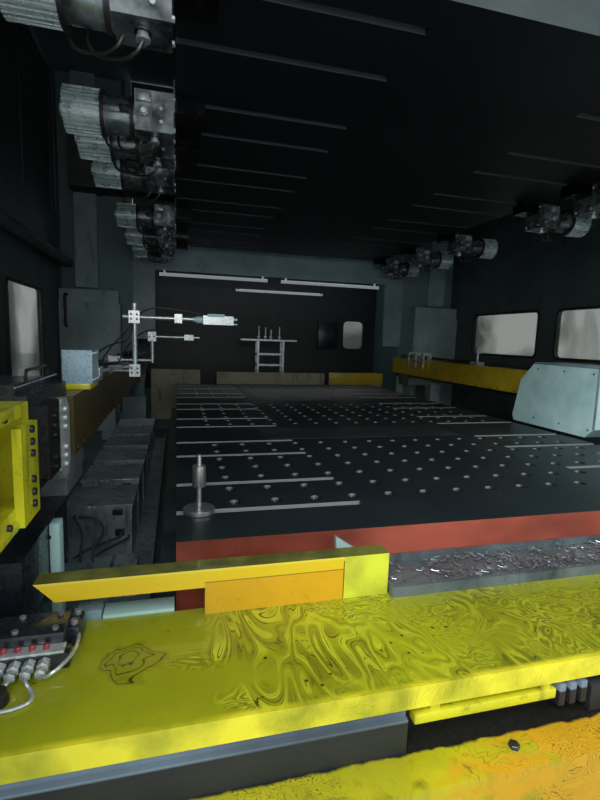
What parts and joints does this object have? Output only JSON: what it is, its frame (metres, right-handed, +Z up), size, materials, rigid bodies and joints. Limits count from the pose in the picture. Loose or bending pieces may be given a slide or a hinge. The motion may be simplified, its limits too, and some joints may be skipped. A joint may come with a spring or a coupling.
{
  "type": "straight-side transfer press",
  "caption": "Straight-side transfer press with T-slotted bolster and slide, travelling die clamps, feed bars that lift, clamp and feed, and rising windowed doors.",
  "frame": {"origin": "on the floor, under the middle of the press", "axes": "+Z up, +Y the feed direction from infeed to outfeed, +X to the right seen from the infeed"},
  "size_m": [5.78, 6.85, 8.0342],
  "materials": {
    "frame_paint": "satin paint, dusty",
    "bed_paint": "satin paint, oily",
    "rod_steel": "turned",
    "bolster_steel": "milled, oily",
    "slide_paint": "dark, oily",
    "yellow_paint": "gloss paint, greasy",
    "grey_steel": "worn",
    "bar_paint": "satin paint, oily",
    "black_paint": "satin paint",
    "cover_paint": "satin paint",
    "motor_alloy": "cast and finned",
    "tool_silver": "machined",
    "door_paint": "satin paint",
    "window_glass": "clear",
    "belt_rubber": "matt",
    "hose_rubber": "ribbed, matt",
    "lamp_glow": "frosted",
    "cyan_paint": "satin paint"
  },
  "bodies": {
    "frame": {"bed": "bed_paint", "upright_near_left": "frame_paint", "upright_near_right": "frame_paint", "upright_far_left": "frame_paint", "upright_far_right": "frame_paint", "crown": "frame_paint", "flywheel_bearings": "frame_paint", "deck_railing": "yellow_paint", "tie_rods": "rod_steel", "gib_rails": "cover_paint", "bolster": "bolster_steel", "far_window_frame": "cover_paint", "infeed_beam": "yellow_paint", "infeed_lower_beam": "yellow_paint", "infeed_guide_rail": "grey_steel", "guard_bar": "yellow_paint", "chip_tray": "grey_steel", "outfeed_beam": "bed_paint", "outfeed_drive_box": "cover_paint", "outfeed_panels": "frame_paint", "part_stand": "tool_silver", "lift_unit_near_left": "black_paint", "lift_unit_near_right": "black_paint", "lift_unit_far_left": "cover_paint", "lift_unit_far_right": "cover_paint", "door_frames": "door_paint", "lamps": "lamp_glow", "cable_tray": "grey_steel", "valve_manifold": "black_paint", "hoses": "hose_rubber", "main_motor": "frame_paint", "drive_belts": "belt_rubber"},
    "slide": {"slide": "slide_paint", "plungers": "rod_steel"},
    "left_clamps": {"left_die_clamps": "black_paint", "left_clamp_motors": "motor_alloy"},
    "right_clamps": {"right_die_clamps": "black_paint", "right_clamp_motors": "motor_alloy"},
    "left_lift": {"left_lift_slides": "grey_steel"},
    "left_carriage": {"left_clamp_slides": "grey_steel"},
    "left_feed_bar": {"left_bar": "bar_paint", "left_bar_end": "black_paint", "left_bar_casting": "yellow_paint", "left_splice_plates": "grey_steel", "left_tooling": "tool_silver", "left_valve_box": "cyan_paint"},
    "right_lift": {"right_lift_slides": "grey_steel"},
    "right_carriage": {"right_clamp_slides": "grey_steel"},
    "right_feed_bar": {"right_bar": "bar_paint", "right_bar_end": "black_paint", "right_bar_hood": "cyan_paint", "right_tooling": "tool_silver"},
    "left_door": {"left_door": "door_paint", "left_door_glass": "window_glass"},
    "right_door": {"right_door": "door_paint", "right_door_glass": "window_glass"},
    "exit_guard": {"exit_guard": "black_paint", "exit_guard_glass": "window_glass"},
    "flywheel": {"flywheel": "rod_steel"},
    "motor_pulley": {"motor_pulley": "rod_steel"}
  },
  "joints": [
    {"name": "slide_stroke", "type": "slide", "parent": "frame", "child": "slide", "axis": [0, 0, 1], "range_m": [-0.8, 0]},
    {"name": "left_clamp_travel", "type": "slide", "parent": "slide", "child": "left_clamps", "axis": [1, 0, 0], "range_m": [0, 0.5]},
    {"name": "right_clamp_travel", "type": "slide", "parent": "slide", "child": "right_clamps", "axis": [-1, 0, 0], "range_m": [0, 0.5]},
    {"name": "left_lift_travel", "type": "slide", "parent": "frame", "child": "left_lift", "axis": [0, 0, 1], "range_m": [0, 0.25]},
    {"name": "left_clamp_in", "type": "slide", "parent": "left_lift", "child": "left_carriage", "axis": [1, 0, 0], "range_m": [0, 0.35]},
    {"name": "left_feed", "type": "slide", "parent": "left_carriage", "child": "left_feed_bar", "axis": [0, 1, 0], "range_m": [-0.375, 0.375]},
    {"name": "right_lift_travel", "type": "slide", "parent": "frame", "child": "right_lift", "axis": [0, 0, 1], "range_m": [0, 0.25]},
    {"name": "right_clamp_in", "type": "slide", "parent": "right_lift", "child": "right_carriage", "axis": [-1, 0, 0], "range_m": [0, 0.35]},
    {"name": "right_feed", "type": "slide", "parent": "right_carriage", "child": "right_feed_bar", "axis": [0, 1, 0], "range_m": [-0.375, 0.375]},
    {"name": "left_door_lift", "type": "slide", "parent": "frame", "child": "left_door", "axis": [0, 0, 1], "range_m": [0, 1.5]},
    {"name": "right_door_lift", "type": "slide", "parent": "frame", "child": "right_door", "axis": [0, 0, 1], "range_m": [0, 1.5]},
    {"name": "exit_guard_lift", "type": "slide", "parent": "frame", "child": "exit_guard", "axis": [0, 0, 1], "range_m": [0, 1.5]},
    {"name": "flywheel_spin", "type": "hinge", "parent": "frame", "child": "flywheel", "pos_m": [-1.5, 0.7, 7.27], "axis": [1, 0, 0], "continuous": true},
    {"name": "motor_spin", "type": "hinge", "parent": "frame", "child": "motor_pulley", "pos_m": [-1.5, -0.8, 6.82], "axis": [1, 0, 0], "continuous": true}
  ],
  "couplings": [
    {"joint": "right_clamp_travel", "follows": "left_clamp_travel", "ratio": 1},
    {"joint": "right_lift_travel", "follows": "left_lift_travel", "ratio": 1},
    {"joint": "right_clamp_in", "follows": "left_clamp_in", "ratio": 1},
    {"joint": "right_feed", "follows": "left_feed", "ratio": 1},
    {"joint": "motor_spin", "follows": "flywheel_spin", "ratio": 4}
  ]
}
